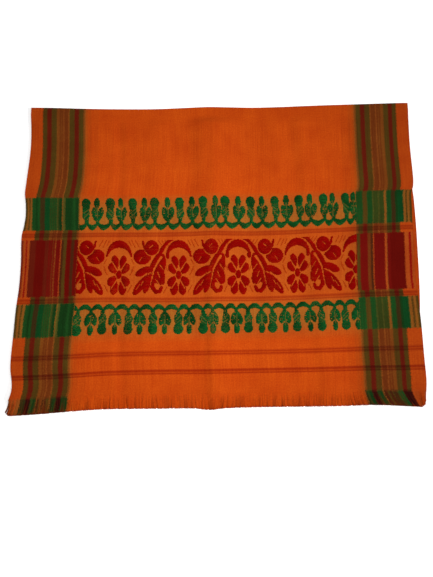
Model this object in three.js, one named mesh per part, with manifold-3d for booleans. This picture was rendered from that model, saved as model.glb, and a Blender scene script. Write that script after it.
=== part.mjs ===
// A gamusa: one straight length of handwoven cotton, folded in thirds and laid flat.
// The fringed end lies on top at the front (-Y). From there the top third runs back to the rear
// fold, rolls round it and passes under the two hidden thirds, which turn at the front fold.
// Millimetres, +Z up. The origin is on the surface the cloth lies on, under the middle of its box.

import * as THREE from 'three';
import Module from 'manifold-3d';

const { lerp, smoothstep } = THREE.MathUtils;
const wasm = await Module();
wasm.setup();

// Driving dimensions of the cloth
const CLOTH_WIDTH = 700; // selvedge to selvedge
const WALL = 1.2; // one layer of cloth, with the air held in its weave
const SEAM = 0.3; // air between neighbouring pieces
const HIDDEN_HEIGHT = 2.6; // the two hidden thirds together
const FACE_REST = HIDDEN_HEIGHT + SEAM; // underside of the top third where it lies flat

// Rear fold: the cloth rolls over a little above its flat height
const FOLD_PUFF = 0.7;
const FOLD_REACH = 16; // how far in front of the fold the cloth starts to rise
const CREASE_END = 3 * FOLD_REACH; // how far in front of the fold the creases start to run out
const FOLD_RADIUS = (FACE_REST + WALL + FOLD_PUFF) / 2;
const FOLD_STEPS = 6;
const FOLD_RETURN = 5; // stretch of the bottom layer that belongs to the fold

// Selvedges seen from above, from front to rear. The hidden layers show past the top third only
// at the right, behind the middle.
const SELVEDGES = [
  { y: -262, left: -353.5, right: 354.5, hiddenLeft: -348, hiddenRight: 351.5 },
  { y: -235, left: -350.5, right: 356, hiddenLeft: -347.5, hiddenRight: 352.5 },
  { y: -200, left: -353.5, right: 355.5, hiddenLeft: -349.5, hiddenRight: 352 },
  { y: -140, left: -351, right: 354.5, hiddenLeft: -347, hiddenRight: 351.5 },
  { y: -100, left: -348.5, right: 352.5, hiddenLeft: -345, hiddenRight: 354 },
  { y: -60, left: -346.5, right: 349.5, hiddenLeft: -343.5, hiddenRight: 356.5 },
  { y: 0, left: -347, right: 350, hiddenLeft: -343.5, hiddenRight: 357.8 },
  { y: 70, left: -342, right: 350.5, hiddenLeft: -340, hiddenRight: 358 },
  { y: 100, left: -345.5, right: 351.5, hiddenLeft: -341.5, hiddenRight: 357.5 },
  { y: 130, left: -343.5, right: 356, hiddenLeft: -340.5, hiddenRight: 353.5 },
  { y: 200, left: -339.5, right: 356.5, hiddenLeft: -337, hiddenRight: 353.5 },
  { y: 265, left: -342.5, right: 357, hiddenLeft: -339.5, hiddenRight: 354 },
];

// The two ends seen from above, from left to right: where the weaving stops and the bare warp
// starts, where the bare warp is cut, and the crest of the rear fold. Lean is how far a fringe
// thread swings sideways on its way to the tip.
const ENDS = [
  { x: -350, weaveEnd: -258.5, tip: -282.2, fold: 277.5, lean: -6.8 },
  { x: -300, weaveEnd: -257, tip: -280.5, fold: 276.5, lean: -6 },
  { x: -245, weaveEnd: -253.5, tip: -276.5, fold: 274.5, lean: -2.5 },
  { x: -190, weaveEnd: -249.5, tip: -272, fold: 273.5, lean: 0 },
  { x: -110, weaveEnd: -248, tip: -272.5, fold: 273.5, lean: 0.6 },
  { x: -40, weaveEnd: -248, tip: -272.5, fold: 275.5, lean: 1.2 },
  { x: -12, weaveEnd: -248, tip: -276.5, fold: 276.5, lean: 0 },
  { x: 16, weaveEnd: -247.5, tip: -271.5, fold: 276, lean: -1.2 },
  { x: 80, weaveEnd: -246.5, tip: -269.5, fold: 274.5, lean: -0.4 },
  { x: 200, weaveEnd: -246.5, tip: -269, fold: 279, lean: 0.6 },
  { x: 262, weaveEnd: -246, tip: -267.5, fold: 280.5, lean: 5 },
  { x: 325, weaveEnd: -246.5, tip: -271.5, fold: 281.7, lean: 10.5 },
  { x: 338, weaveEnd: -246.3, tip: -271, fold: 282, lean: 7 },
  { x: 350, weaveEnd: -246, tip: -268.5, fold: 282.2, lean: 0 },
];

// Storage creases, each a soft ridge running from the fringed end to the rear fold. Across is
// measured along the cloth from its left selvedge.
const CREASES = [
  { across: 92, reach: 22, frontHeight: 0.5, rearHeight: 0.2 },
  { across: 181, reach: 26, frontHeight: 0.4, rearHeight: 0.8 },
  { across: 335, reach: 15, frontHeight: 1.5, rearHeight: 1.2 },
  { across: 507, reach: 24, frontHeight: 0.4, rearHeight: 0.7 },
  { across: 606, reach: 20, frontHeight: 0.5, rearHeight: 0.3 },
];

// Corners of the fringed end that lift off the layers below
const CURLED_CORNERS = [
  { across: 0, reach: 40, height: 2.2 },
  { across: CLOTH_WIDTH, reach: 30, height: 1.3 },
];
const CURL_DEPTH = 46; // how far behind the end of the weaving a corner starts to lift

// Fringe: bare warp in flat locks, fused at the root to a narrow strip along the end of the weaving
const STRIP_DEPTH = 1.8;
const STRIP_STEP = 12;
const LOCK_PITCH = 2.9;
const LOCK_ROOT = { wide: 2.1, thick: 0.9 };
const LOCK_TIP = { wide: 1.1, thick: 0.6 };
const LOCK_UNEVENNESS = { along: 1.2, sideways: 0.25 }; // how far a cut tip strays
const FRINGE_STRETCHES = [
  { name: 'fringe_left_border', from: 1, to: 99, colour: 0x2c2a12 },
  { name: 'fringe_field_left', from: 99, to: 335, colour: 0xb83e08 },
  { name: 'fringe_field_right', from: 335, to: 601, colour: 0xb83e08 },
  { name: 'fringe_right_border', from: 601, to: 699, colour: 0x2c2a12 },
];

// Hidden thirds: each layer's selvedge is a rounded lip, with a groove between the two. A lip's
// profile goes from the groove to its layer's outer face, and rise is a part of its thickness.
const LIP = [
  { inset: 1.7, rise: 0.04 },
  { inset: 0.35, rise: 0.1 },
  { inset: 0, rise: 0.5 },
  { inset: 0.4, rise: 0.86 },
  { inset: 1.4, rise: 1 },
];
const UPPER_LIP_INSET = 1.1; // the upper hidden third lies a little inside the lower one
const HIDDEN_FRONT = 3; // the front fold lies this far behind the fringe's tips
const HIDDEN_REAR = 1; // gap to the stretch of bottom layer that belongs to the rear fold
const FRONT_FOLD_TURNS = [0.2, 0.45, 0.75]; // parts of a quarter turn where it has a ring

// Mesh spacing
const CREASE_COLUMNS = [-1, -0.5, 0, 0.5, 1]; // in reaches from a crease's line
const FACE_COLUMN_STEP = 32;
const FACE_ROW_STEP = 36;
const HIDDEN_COLUMN_STEP = 50;
const HIDDEN_ROW_STEP = 55;
const MIN_COLUMN_GAP = 5;

const COTTON_ROUGHNESS = 0.9;
const FACE_ORANGE = 0xc44a0a;
const UNDER_ORANGE = 0xb04008;

// Smooth curve through one column of a table, worked out against another
function follow(rows, by, column) {
  const places = rows.map((row) => row[by]);
  const values = rows.map((row) => row[column]);
  const curve = new THREE.CubicInterpolant(places, values, 1);
  return (at) => curve.evaluate(at)[0];
}

const leftEdge = follow(SELVEDGES, 'y', 'left');
const rightEdge = follow(SELVEDGES, 'y', 'right');
const hiddenLeftEdge = follow(SELVEDGES, 'y', 'hiddenLeft');
const hiddenRightEdge = follow(SELVEDGES, 'y', 'hiddenRight');
const weaveEnd = follow(ENDS, 'x', 'weaveEnd');
const tipLine = follow(ENDS, 'x', 'tip');
const foldLine = follow(ENDS, 'x', 'fold');
const fringeLean = follow(ENDS, 'x', 'lean');

// Ridge that is 1 on its line and runs out smoothly at its reach
function ridge(distance, reach) {
  return distance < reach ? (1 + Math.cos((Math.PI * distance) / reach)) / 2 : 0;
}

// Height of the top third's underside. Along runs from 0 at the end of the weaving to 1 where
// the rear fold starts.
function faceRest(across, along, x) {
  const length = foldLine(x) - weaveEnd(x);
  const behind = along * length;
  const flatAtFold = 1 - smoothstep(behind, length - CREASE_END, length - FOLD_REACH);
  let height = FACE_REST + FOLD_PUFF * smoothstep(behind, length - FOLD_REACH, length);
  for (const crease of CREASES) {
    const rise = lerp(crease.frontHeight, crease.rearHeight, along);
    height += rise * flatAtFold * ridge(Math.abs(across - crease.across), crease.reach);
  }
  for (const corner of CURLED_CORNERS) {
    const near = ridge(Math.abs(across - corner.across), corner.reach);
    height += corner.height * near * ridge(Math.max(behind, 0), CURL_DEPTH);
  }
  return height;
}

// Closed body between two matching grids of points, outer and inner, row by row
function slab(rows) {
  const columns = rows[0].outer.length;
  const positions = [];
  for (const row of rows) {
    for (const point of [...row.outer, ...row.inner]) {
      positions.push(point.x, point.y, point.z);
    }
  }
  const outer = (row, column) => row * 2 * columns + column;
  const inner = (row, column) => outer(row, column) + columns;
  const triangles = [];
  const quad = (a, b, c, d) => triangles.push(a, b, c, a, c, d);
  const last = rows.length - 1;
  const edge = columns - 1;
  for (let row = 0; row < last; row += 1) {
    for (let column = 0; column < edge; column += 1) {
      const [near, far] = [column, column + 1];
      quad(outer(row, near), outer(row, far), outer(row + 1, far), outer(row + 1, near));
      quad(inner(row, near), inner(row + 1, near), inner(row + 1, far), inner(row, far));
    }
    quad(inner(row, 0), outer(row, 0), outer(row + 1, 0), inner(row + 1, 0));
    quad(outer(row, edge), inner(row, edge), inner(row + 1, edge), outer(row + 1, edge));
  }
  for (let column = 0; column < edge; column += 1) {
    const [near, far] = [column, column + 1];
    quad(inner(0, near), inner(0, far), outer(0, far), outer(0, near));
    quad(outer(last, near), outer(last, far), inner(last, far), inner(last, near));
  }
  const geometry = new THREE.BufferGeometry();
  geometry.setAttribute('position', new THREE.Float32BufferAttribute(positions, 3));
  geometry.setIndex(triangles);
  return geometry;
}

// Even places from one value to another, no further apart than a step
function spread(from, to, step) {
  const count = Math.ceil((to - from) / step);
  return Array.from({ length: count + 1 }, (_, i) => from + ((to - from) * i) / count);
}

// Columns of the top third: even ones, with extra ones at each crease's line and shoulders
function faceColumns() {
  const lines = CREASES.flatMap(({ across, reach }) =>
    CREASE_COLUMNS.map((side) => across + side * reach));
  const fillers = spread(0, CLOTH_WIDTH, FACE_COLUMN_STEP).filter((place) =>
    lines.every((line) => Math.abs(line - place) > MIN_COLUMN_GAP));
  return [...lines, ...fillers].sort((a, b) => a - b);
}

// Point of the cloth seen from above: across it from the left selvedge, and along it from the end
// of the weaving (0) to the start of the rear fold (1)
function placeOnFace(across, along) {
  const front = lerp(ENDS[0].weaveEnd, ENDS[0].fold, along);
  const x = lerp(leftEdge(front), rightEdge(front), across / CLOTH_WIDTH);
  const y = lerp(weaveEnd(x), foldLine(x) - FOLD_RADIUS, along);
  return { x, y };
}

function facePanel() {
  const columns = faceColumns();
  const rows = [];
  for (const along of spread(0, 1, FACE_ROW_STEP / (ENDS[0].fold - ENDS[0].weaveEnd))) {
    const row = { outer: [], inner: [] };
    for (const across of columns) {
      const { x, y } = placeOnFace(across, along);
      const rest = faceRest(across, along, x);
      row.outer.push(new THREE.Vector3(x, y, rest + WALL));
      row.inner.push(new THREE.Vector3(x, y, rest));
    }
    rows.push(row);
  }
  const turned = (across, radius, angle, back) => {
    const { x, y } = placeOnFace(across, 1);
    return new THREE.Vector3(
      x,
      y - back + radius * Math.sin(angle),
      FOLD_RADIUS + radius * Math.cos(angle),
    );
  };
  const turn = (angle, back) => rows.push({
    outer: columns.map((across) => turned(across, FOLD_RADIUS, angle, back)),
    inner: columns.map((across) => turned(across, FOLD_RADIUS - WALL, angle, back)),
  });
  for (let step = 1; step <= FOLD_STEPS; step += 1) {
    turn((Math.PI * step) / FOLD_STEPS, 0);
  }
  turn(Math.PI, FOLD_RETURN);
  return slab(rows);
}

function underLayers() {
  const half = HIDDEN_HEIGHT / 2;
  const lines = spread(0, 1, HIDDEN_COLUMN_STEP / CLOTH_WIDTH).slice(1, -1);
  const layer = (y, left, right, side, swell) => {
    const inset = side > 0 ? UPPER_LIP_INSET : 0;
    const level = (rise) => half + side * half * rise * swell;
    const lip = LIP.map((point) => ({ inset: point.inset + inset, z: level(point.rise) }));
    return [
      ...lip.map((point) => new THREE.Vector3(left + point.inset, y(left), point.z)),
      ...lines.map((line) => lerp(left, right, line))
        .map((x) => new THREE.Vector3(x, y(x), level(1))),
      ...lip.map((point) => new THREE.Vector3(right - point.inset, y(right), point.z)).reverse(),
    ];
  };
  const ring = (nominal, y, swell) => {
    const left = hiddenLeftEdge(nominal);
    const right = hiddenRightEdge(nominal);
    return {
      outer: layer(y, left, right, 1, swell),
      inner: layer(y, left, right, -1, swell),
    };
  };
  const front = (x) => tipLine(x) + HIDDEN_FRONT + half;
  const rear = (x) => foldLine(x) - FOLD_RADIUS - FOLD_RETURN - HIDDEN_REAR;
  const rows = [];
  for (const turn of FRONT_FOLD_TURNS) {
    const angle = (turn * Math.PI) / 2;
    rows.push(ring(SELVEDGES[0].y, (x) => front(x) - half * Math.cos(angle), Math.sin(angle)));
  }
  for (const along of spread(0, 1, HIDDEN_ROW_STEP / (ENDS[0].fold - ENDS[0].tip))) {
    const y = (x) => lerp(front(x), rear(x), along);
    rows.push(ring(y(0), y, 1));
  }
  return slab(rows);
}

function toManifold(geometry) {
  return new wasm.Manifold(new wasm.Mesh({
    numProp: 3,
    vertProperties: new Float32Array(geometry.getAttribute('position').array),
    triVerts: new Uint32Array(geometry.getIndex().array),
  }));
}

function fromManifold(solid) {
  const mesh = solid.getMesh();
  const geometry = new THREE.BufferGeometry();
  geometry.setAttribute('position', new THREE.BufferAttribute(mesh.vertProperties, 3));
  geometry.setIndex(new THREE.BufferAttribute(mesh.triVerts, 1));
  return geometry;
}

// Uneven values between -1 and 1, the same each time for the same lock
const unevenAlong = (index) => Math.sin(index * 12.9) * Math.cos(index * 4.7);
const unevenSideways = (index) => Math.sin(index * 7.1) * Math.cos(index * 9.3);

// Narrow strip that carries the roots, parted from the end of the weaving
function rootStrip(from, to) {
  const edge = (ahead) => {
    const row = { outer: [], inner: [] };
    for (const across of spread(from + SEAM / 2, to - SEAM / 2, STRIP_STEP)) {
      const { x, y } = placeOnFace(across, 0);
      const rest = faceRest(across, 0, x);
      row.outer.push(new THREE.Vector3(x, y - ahead, rest + WALL));
      row.inner.push(new THREE.Vector3(x, y - ahead, rest));
    }
    return row;
  };
  return slab([edge(SEAM + STRIP_DEPTH), edge(SEAM)]);
}

// One lock of bare warp: four sides, tapering from its root inside the strip to its cut tip
function fringeLock(across, index) {
  const root = placeOnFace(across, 0);
  const rest = faceRest(across, 0, root.x);
  const tip = {
    x: root.x + fringeLean(root.x) + LOCK_UNEVENNESS.sideways * unevenSideways(index),
    y: tipLine(root.x) + LOCK_UNEVENNESS.along * Math.abs(unevenAlong(index)),
  };
  const section = (x, y, z, { wide, thick }) => ({
    outer: [-wide / 2, wide / 2].map((side) => new THREE.Vector3(x + side, y, z + thick)),
    inner: [-wide / 2, wide / 2].map((side) => new THREE.Vector3(x + side, y, z)),
  });
  const clearance = (WALL - LOCK_ROOT.thick) / 2;
  return slab([
    section(tip.x, tip.y, FACE_REST + (rest - FACE_REST) / 2, LOCK_TIP),
    section(root.x, root.y - SEAM - STRIP_DEPTH / 2, rest + clearance, LOCK_ROOT),
  ]);
}

function fringe(from, to, firstIndex) {
  const inset = LOCK_ROOT.wide / 2 + SEAM;
  const places = spread(from + inset, to - inset, LOCK_PITCH);
  return places.reduce(
    (solid, across, i) => solid.add(toManifold(fringeLock(across, firstIndex + i))),
    toManifold(rootStrip(from, to)),
  );
}

const gamusa = new THREE.Group();

function addPiece(name, geometry, colour) {
  const material = new THREE.MeshStandardMaterial({
    color: colour,
    roughness: COTTON_ROUGHNESS,
    metalness: 0,
  });
  const mesh = new THREE.Mesh(geometry, material);
  mesh.name = name;
  gamusa.add(mesh);
}

addPiece('face_panel', facePanel(), FACE_ORANGE);
addPiece('under_layers', underLayers(), UNDER_ORANGE);
for (const { name, from, to, colour } of FRINGE_STRETCHES) {
  addPiece(name, fromManifold(fringe(from, to, from)), colour);
}

export default gamusa;
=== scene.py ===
import math

import bpy
import numpy as np
from mathutils import Matrix, Vector


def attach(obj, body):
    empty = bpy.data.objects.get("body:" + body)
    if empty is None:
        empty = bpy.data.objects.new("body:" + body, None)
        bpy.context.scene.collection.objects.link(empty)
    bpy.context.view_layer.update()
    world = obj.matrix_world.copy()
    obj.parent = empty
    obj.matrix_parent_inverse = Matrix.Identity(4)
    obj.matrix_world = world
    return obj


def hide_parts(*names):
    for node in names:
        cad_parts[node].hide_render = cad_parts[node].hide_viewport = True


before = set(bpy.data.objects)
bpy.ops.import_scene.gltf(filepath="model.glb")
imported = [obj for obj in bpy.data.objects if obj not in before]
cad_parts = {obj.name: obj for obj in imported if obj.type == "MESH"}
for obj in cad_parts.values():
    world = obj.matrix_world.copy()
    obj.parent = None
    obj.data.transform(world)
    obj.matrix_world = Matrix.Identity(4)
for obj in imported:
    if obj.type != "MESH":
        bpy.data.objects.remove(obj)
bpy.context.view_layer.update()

MM = 0.001  # sizes below are in millimetres, and Blender's are in metres


# ---- The top third -------------------------------------------------------------------------
# One length of handloom cotton, 700 mm between its selvedges. Its fringed end lies on top at the
# front, and it runs back over the two hidden thirds to the rear fold, where it rolls under.

CLOTH_WIDTH = 700
CLOTH_THICKNESS = 0.9  # with the air that the layers trap
FACE_LENGTH = 522  # from the end of the weaving to the rear fold
FACE_TOP = 4.1  # height of the top third where it lies flat
FOLD_PUFF = -0.3  # how much higher it is at the rear fold
FOLD_REACH = 16
FOLD_RADIUS = (FACE_TOP + FOLD_PUFF) / 2
FOLD_RETURN = 5  # of cloth that runs forward again below the fold
FOLD_INSET = 0.8
FOLD_STEPS = 12
FACE_GRID = 4  # between two points of the cloth


def table(columns, *rows):
    """Rows of values by the names of their columns."""
    return [dict(zip(columns.split(), row)) for row in rows]


# Selvedges seen from above, from front to rear
SELVEDGES = table(
    "y left right hidden_left hidden_right",
    (-262, -352, 354.5, -350.5, 351.5),
    (-235, -347.6, 357.2, -346.5, 352.5),
    (-200, -352.3, 356.5, -348.5, 352),
    (-140, -350, 355.5, -347, 351.5),
    (-100, -348.4, 353, -345, 354),
    (-60, -345, 349.5, -343, 355.5),
    (-20, -344.3, 349.5, -342.5, 356.2),
    (30, -345.8, 350, -341.5, 356.8),
    (50, -342.3, 350, -340, 356.8),
    (70, -340.4, 350.5, -337.5, 356.6),
    (92, -341.6, 350.8, -338.5, 356.2),
    (103, -343.2, 351.9, -340, 355.8),
    (112, -344.2, 355.6, -341, 355),
    (130, -342.9, 357.2, -340.5, 353.5),
    (200, -338.2, 355.4, -337, 352.5),
    (265, -341.3, 356.4, -339.5, 353),
)

# End of the weaving, cut tips of the bare warp and crest of the rear fold, from left to right.
# Lean is how far a fringe thread swings sideways on its way to the tip.
ENDS = table(
    "x weave_end tip fold lean",
    (-350, -257.5, -283.4, 277.5, -8.6),
    (-300, -256, -280.7, 276.5, -5.5),
    (-245, -253, -276.3, 274.5, -2.5),
    (-190, -249.5, -273, 273.2, 0),
    (-110, -248, -272.5, 272.8, 0.6),
    (-40, -248, -272.5, 275.5, 1.2),
    (-12, -248, -275, 276.5, 0),
    (16, -247.5, -272.4, 275.8, -1.2),
    (80, -246.5, -270.9, 274.5, -0.4),
    (200, -246.5, -270.2, 278.3, 0.6),
    (262, -246, -268.8, 280, 12),
    (325, -246.5, -271.8, 281.7, 17),
    (338, -246.3, -272.1, 282, 7),
    (350, -246, -269.2, 282.2, 0),
)
HEM_FLARE = 0.14  # part of the fringe's lean that the woven threads already have at their end
FLARE_DEPTH = 16

# Where the threads stray from a straight grid. The warp swings sideways in the two borders, and
# the weft bows towards the rear at either side.
STRAY = table(
    "behind warp_left warp_right weft_left weft_right",
    (0, -2.3, -6.5, 0, 0),
    (20, -2.7, -6.9, -0.3, 2),
    (57, -0.5, -7, -0.5, 4.1),
    (90, -0.5, -7, 0.8, 5),
    (125, -0.6, -6.6, 3.2, 6.3),
    (157, 1.2, -5.2, 3.8, 6.3),
    (197, -1.5, -3.8, 4.5, 7.5),
    (240, -0.6, -2.4, 4.1, 7.3),
    (285, 1.4, -1.2, 1.7, 5.8),
    (307, -2.9, -0.5, 1.1, 5.7),
    (327, -3.9, -0.3, 0.8, 5.6),
    (349, -2.2, -0.8, 0.7, 5.3),
    (364, 1.2, -1.1, 0.6, 4.9),
    (388, 2.6, -1.7, 0.5, 4),
    (458, -0.2, -1.2, 0.2, 2),
    (522, 0.5, -0.8, 0, 0),
)

# Across the cloth, where those swings and bows begin, are whole, begin to fade and are gone
BOW_LEFT = (60, 300)
BOW_RIGHT = (400, 720)
SWING_LEFT = (0, 20, 90, 190)
SWING_RIGHT = (430, 600, 676, CLOTH_WIDTH)
SWING_KEPT = 0.4  # at the right selvedge
WARP_BULGE = dict(middle=652, reach=26, swing=2.1)  # the reed spread the right border

# Long creases from the fringed end to the rear fold, as soft ridges, or troughs where negative.
# Each has its place across the cloth, its reach to either side and its height, at either end.
CREASES = table(
    "front rear left right front_height rear_height",
    (92, 96, 22, 26, 0.9, 0.5),
    (186, 162, 14, 13, -0.8, -0.85),
    (226, 238, 30, 34, 0.5, 1.0),
    (342, 338, 16, 52, 2.5, 0.7),
    (344, 322, 38, 74, 0.3, 3.7),
    (437, 452, 34, 30, 0.6, 0.9),
    (538, 494, 22, 44, 1.5, 1.6),
    (606, 600, 20, 22, 0.8, 0.6),
)
CREASE_END = 2 * FOLD_REACH

# Short soft dents and swells, each an ellipse turned by some degrees. Behind is measured from the
# end of the weaving.
DENTS = table(
    "across behind wide long turn height",
    (26, 338, 26, 60, 6, 0.9),
    (14, 296, 20, 40, -12, -0.5),
    (60, 200, 34, 90, 4, 0.5),
    (48, 60, 40, 50, -25, 0.7),
    (118, 430, 30, 110, 5, 0.45),
    (215, 470, 26, 90, -6, 0.4),
    (250, 120, 60, 36, 12, 0.35),
    (300, 400, 22, 130, 2, -0.35),
    (330, 24, 16, 46, -4, 0.8),
    (372, 440, 28, 120, -3, 0.4),
    (452, 60, 70, 40, -8, 0.35),
    (470, 380, 30, 100, 7, 0.4),
    (545, 470, 34, 80, -10, 0.45),
    (640, 320, 30, 80, -8, 0.7),
    (668, 150, 24, 90, 5, 0.6),
    (630, 40, 40, 44, 24, 0.8),
)
CURLED_CORNERS = table(
    "across reach height",
    (0, 40, 2.2),
    (CLOTH_WIDTH, 30, 1.3),
)
CURL_DEPTH = 46
SELVEDGE_SAG = 0.75  # how far an edge drops onto the layer below
SAG_REACH = 12
SAG_LEAST = 0.6
SAG_WAVES = (23, 61)
LOWEST = 3.25  # on the hidden thirds


def follow(rows, by, column):
    """Smooth curve through one column of a table, worked out against another."""
    places = np.array([row[by] for row in rows], float)
    values = np.array([row[column] for row in rows], float)
    slopes = np.empty(len(places))
    slopes[1:-1] = (values[2:] - values[:-2]) / (places[2:] - places[:-2])
    first, last = np.diff(values)[[0, -1]] / np.diff(places)[[0, -1]]
    slopes[0] = (3 * first - slopes[1]) / 2
    slopes[-1] = (3 * last - slopes[-2]) / 2

    def curve(at):
        at = np.clip(at, places[0], places[-1])
        i = np.clip(np.searchsorted(places, at) - 1, 0, len(places) - 2)
        span = places[i + 1] - places[i]
        t = (at - places[i]) / span
        start = values[i] * (1 + 2 * t) * (1 - t) ** 2 + slopes[i] * span * t * (1 - t) ** 2
        end = values[i + 1] * (3 - 2 * t) * t**2 - slopes[i + 1] * span * (1 - t) * t**2
        return start + end

    return curve


def curves(rows):
    """A curve through each column of a table, worked out against its first."""
    by, *columns = rows[0]
    return [follow(rows, by, column) for column in columns]


left_edge, right_edge, hidden_left, hidden_right = curves(SELVEDGES)
weave_end, tip_line, fold_line, lean_at = curves(ENDS)
warp_left, warp_right, weft_left, weft_right = curves(STRAY)


def soft_step(value, start, end):
    t = np.clip((value - start) / (end - start), 0, 1)
    return t * t * (3 - 2 * t)


def ridge(distance, reach):
    """1 on a crease's line, running out smoothly at its reach."""
    return (1 + np.cos(np.pi * np.clip(np.abs(distance) / reach, 0, 1))) / 2


def lie(across, behind):
    """Where a point of the top third lies: x and y, in millimetres."""
    bow = weft_left(behind) * (1 - soft_step(across, *BOW_LEFT))
    bow = bow + weft_right(behind) * soft_step(across, *BOW_RIGHT)
    along = (behind + bow) / FACE_LENGTH
    nominal = ENDS[0]["weave_end"] + along * (ENDS[0]["fold"] - ENDS[0]["weave_end"])
    left, right = left_edge(nominal), right_edge(nominal)
    x = left + (right - left) * across / CLOTH_WIDTH
    y = weave_end(x) + along * (fold_line(x) - FOLD_RADIUS - FOLD_INSET - weave_end(x))
    x = x + HEM_FLARE * lean_at(x) * ridge(behind, FLARE_DEPTH)
    at_left = soft_step(across, *SWING_LEFT[:2]) * (1 - soft_step(across, *SWING_LEFT[2:]))
    x = x + warp_left(behind) * at_left
    fade = (1 - SWING_KEPT) * soft_step(across, *SWING_RIGHT[2:])
    x = x + warp_right(behind) * soft_step(across, *SWING_RIGHT[:2]) * (1 - fade)
    x = x + WARP_BULGE["swing"] * ridge(across - WARP_BULGE["middle"], WARP_BULGE["reach"])
    return x, y


def face_height(across, behind):
    """Height of the top third's upper surface."""
    along = behind / FACE_LENGTH
    flat_at_fold = 1 - soft_step(behind, FACE_LENGTH - CREASE_END, FACE_LENGTH - FOLD_REACH)
    height = FACE_TOP + FOLD_PUFF * soft_step(behind, FACE_LENGTH - FOLD_REACH, FACE_LENGTH)
    for crease in CREASES:
        aside = across - crease["front"] - (crease["rear"] - crease["front"]) * along
        reach = np.where(aside < 0, crease["left"], crease["right"])
        rise = crease["front_height"] * (1 - along) + crease["rear_height"] * along
        height = height + rise * flat_at_fold * ridge(aside, reach)
    for dent in DENTS:
        turn = math.radians(dent["turn"])
        aside, ahead = across - dent["across"], behind - dent["behind"]
        over = (aside * math.cos(turn) + ahead * math.sin(turn)) / dent["wide"]
        down = (ahead * math.cos(turn) - aside * math.sin(turn)) / dent["long"]
        height = height + dent["height"] * flat_at_fold * ridge(np.hypot(over, down), 1)
    for corner in CURLED_CORNERS:
        near = ridge(across - corner["across"], corner["reach"])
        height = height + corner["height"] * near * ridge(np.maximum(behind, 0), CURL_DEPTH)
    edge = np.minimum(across, CLOTH_WIDTH - across)
    waves = np.sin(behind / SAG_WAVES[0]) * np.sin(behind / SAG_WAVES[1] + across)
    sag = SELVEDGE_SAG * (SAG_LEAST + (1 - SAG_LEAST) * waves)
    sag = sag * (1 - soft_step(edge, 0, SAG_REACH))
    return np.maximum(height - sag * flat_at_fold, LOWEST)


def grid_faces(rows, columns, first, flip):
    """Four-sided faces between neighbouring points of a grid that starts at vertex first."""
    at = first + np.arange(rows * columns).reshape(rows, columns)
    faces = np.stack([at[:-1, :-1], at[:-1, 1:], at[1:, 1:], at[1:, :-1]], axis=-1)
    faces = faces.reshape(-1, 4)
    return faces[:, ::-1] if flip else faces


CRISP_ANGLE = 60  # degrees between two faces from which their edge is drawn sharp


def put_in_scene(name, data):
    thing = bpy.data.objects.new(name, data)
    bpy.context.scene.collection.objects.link(thing)
    return thing


def build_piece(name, points, faces, thread_map, bake_map):
    """A mesh object from points in millimetres. thread_map gives each point its place in the
    cloth, across and behind, and bake_map gives each face corner its place for baking."""
    mesh = bpy.data.meshes.new(name)
    mesh.from_pydata((points * MM).tolist(), [], [list(face) for face in faces])
    corners = np.empty(len(mesh.loops), np.int32)
    mesh.loops.foreach_get("vertex_index", corners)
    mesh.uv_layers.new(name="Threads").data.foreach_set("uv", (thread_map[corners] * MM).ravel())
    mesh.uv_layers.new(name="OFBake").data.foreach_set("uv", bake_map.ravel())
    mesh.shade_smooth()
    mesh.set_sharp_from_angle(angle=math.radians(CRISP_ANGLE))
    return put_in_scene(name, mesh)


BAKE_OUTER = 0.93  # part of the bake map that the outer side takes
BAKE_MARGIN = 0.004


def cloth_shell(name, outer, inner, thread_map):
    """A closed sheet between two grids of points, its outer and inner side."""
    rows, columns = outer.shape[:2]
    count = rows * columns
    at = np.arange(count).reshape(rows, columns)
    rims = []
    for line in (at[0, ::-1], at[:, 0], at[-1, :], at[::-1, -1]):
        rims.append(np.stack([line[:-1], line[1:], line[1:] + count, line[:-1] + count], axis=-1))
    outer_faces = grid_faces(rows, columns, 0, False)
    inner_faces = grid_faces(rows, columns, count, True)
    faces = np.concatenate([outer_faces, inner_faces, *rims])
    threads = np.concatenate([thread_map.reshape(-1, 2)] * 2)
    even = np.stack(np.meshgrid(np.linspace(0, 1, columns), np.linspace(0, 1, rows)), axis=-1)
    place = BAKE_MARGIN + even.reshape(-1, 2) * (1 - 2 * BAKE_MARGIN)
    outer_place = place * (1, BAKE_OUTER)
    inner_place = place * (1, 1 - BAKE_OUTER) + (0, BAKE_OUTER)
    bake = np.concatenate([
        outer_place[outer_faces.ravel() % count],
        inner_place[inner_faces.ravel() % count],
        outer_place[np.concatenate(rims).ravel() % count],
    ])
    points = np.concatenate([outer.reshape(-1, 3), inner.reshape(-1, 3)])
    return build_piece(name, points, faces, threads, bake)


def face_cloth():
    across = np.linspace(0, CLOTH_WIDTH, int(CLOTH_WIDTH / FACE_GRID) + 1)
    behind = np.linspace(0, FACE_LENGTH, int(FACE_LENGTH / FACE_GRID) + 1)
    a, b = np.meshgrid(across, behind)
    x, y = lie(a, b)
    top = face_height(a, b)
    outer = [np.stack([x, y, top], axis=-1)]
    inner = [np.stack([x, y, top - CLOTH_THICKNESS], axis=-1)]
    threads = [np.stack([a, b], axis=-1)]
    x, y = lie(across, FACE_LENGTH)
    turns = np.linspace(0, math.pi, FOLD_STEPS + 1)[1:]
    stations = [(turn, 0) for turn in turns] + [(math.pi, FOLD_RETURN)]
    for turn, back in stations:
        for side, radius in ((outer, FOLD_RADIUS), (inner, FOLD_RADIUS - CLOTH_THICKNESS)):
            height = np.full_like(x, FOLD_RADIUS + radius * math.cos(turn))
            reach = y - back + radius * math.sin(turn)
            side.append(np.stack([x, reach, height], axis=-1)[None])
        rolled = np.full_like(across, FACE_LENGTH + FOLD_RADIUS * turn + back)
        threads.append(np.stack([across, rolled], axis=-1)[None])
    outer, inner, threads = (np.concatenate(part) for part in (outer, inner, threads))
    return cloth_shell("top_third", outer, inner, threads)


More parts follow.
